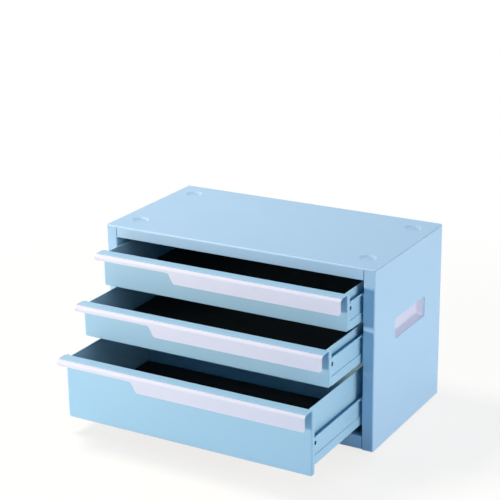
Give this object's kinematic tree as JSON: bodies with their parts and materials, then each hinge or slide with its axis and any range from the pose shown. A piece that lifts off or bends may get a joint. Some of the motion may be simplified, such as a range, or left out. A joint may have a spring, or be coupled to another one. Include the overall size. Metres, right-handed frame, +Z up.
{
  "type": "portable tool box with drawers",
  "caption": "Portable sheet-steel tool box with sliding drawers, full-width folded pulls and a recessed carrying pocket in each side.",
  "frame": {"origin": "floor level under the middle of the cabinet, midway between its front frame and its rear edge", "axes": "+X to the right seen from the front, +Y from the front to the back, +Z up; the drawers open along -Y"},
  "size_m": [0.4, 0.36, 0.248],
  "materials": {
    "cabinet_blue": "pale blue powder coat, satin, very fine texture",
    "drawer_blue": "pale blue powder coat, satin, very fine texture",
    "pull_white": "white powder coat, satin",
    "pocket_white": "white moulded plastic, matt",
    "rubber_black": "black rubber, matt",
    "mat_black": "black drawer mat, matt",
    "zinc_steel": "zinc-plated steel"
  },
  "bodies": {
    "cabinet": {"top_panel": "cabinet_blue", "left_side_panel": "cabinet_blue", "right_side_panel": "cabinet_blue", "bottom_panel": "cabinet_blue", "back_panel": "cabinet_blue", "left_handle_cup": "pocket_white", "right_handle_cup": "pocket_white", "top_left_rail": "cabinet_blue", "top_right_rail": "cabinet_blue", "middle_left_rail": "cabinet_blue", "middle_right_rail": "cabinet_blue", "bottom_left_rail": "cabinet_blue", "bottom_right_rail": "cabinet_blue", "back_screws": "zinc_steel", "closing_bumpers": "rubber_black", "front_left_foot": "rubber_black", "front_right_foot": "rubber_black", "rear_left_foot": "rubber_black", "rear_right_foot": "rubber_black"},
    "top_drawer": {"top_drawer_tray": "drawer_blue", "top_drawer_front": "drawer_blue", "top_drawer_pull": "pull_white", "top_drawer_left_runner": "drawer_blue", "top_drawer_right_runner": "drawer_blue", "top_drawer_rivets": "zinc_steel", "top_drawer_mat": "mat_black"},
    "middle_drawer": {"middle_drawer_tray": "drawer_blue", "middle_drawer_front": "drawer_blue", "middle_drawer_pull": "pull_white", "middle_drawer_left_runner": "drawer_blue", "middle_drawer_right_runner": "drawer_blue", "middle_drawer_rivets": "zinc_steel", "middle_drawer_mat": "mat_black"},
    "bottom_drawer": {"bottom_drawer_tray": "drawer_blue", "bottom_drawer_front": "drawer_blue", "bottom_drawer_pull": "pull_white", "bottom_drawer_left_runner": "drawer_blue", "bottom_drawer_right_runner": "drawer_blue", "bottom_drawer_rivets": "zinc_steel", "bottom_drawer_mat": "mat_black"}
  },
  "joints": [
    {"name": "top_drawer_slide", "type": "slide", "parent": "cabinet", "child": "top_drawer", "axis": [0, -1, 0], "range_m": [-0.061, 0.097]},
    {"name": "middle_drawer_slide", "type": "slide", "parent": "cabinet", "child": "middle_drawer", "axis": [0, -1, 0], "range_m": [-0.11, 0.048]},
    {"name": "bottom_drawer_slide", "type": "slide", "parent": "cabinet", "child": "bottom_drawer", "axis": [0, -1, 0], "range_m": [-0.154, 0.004]}
  ]
}
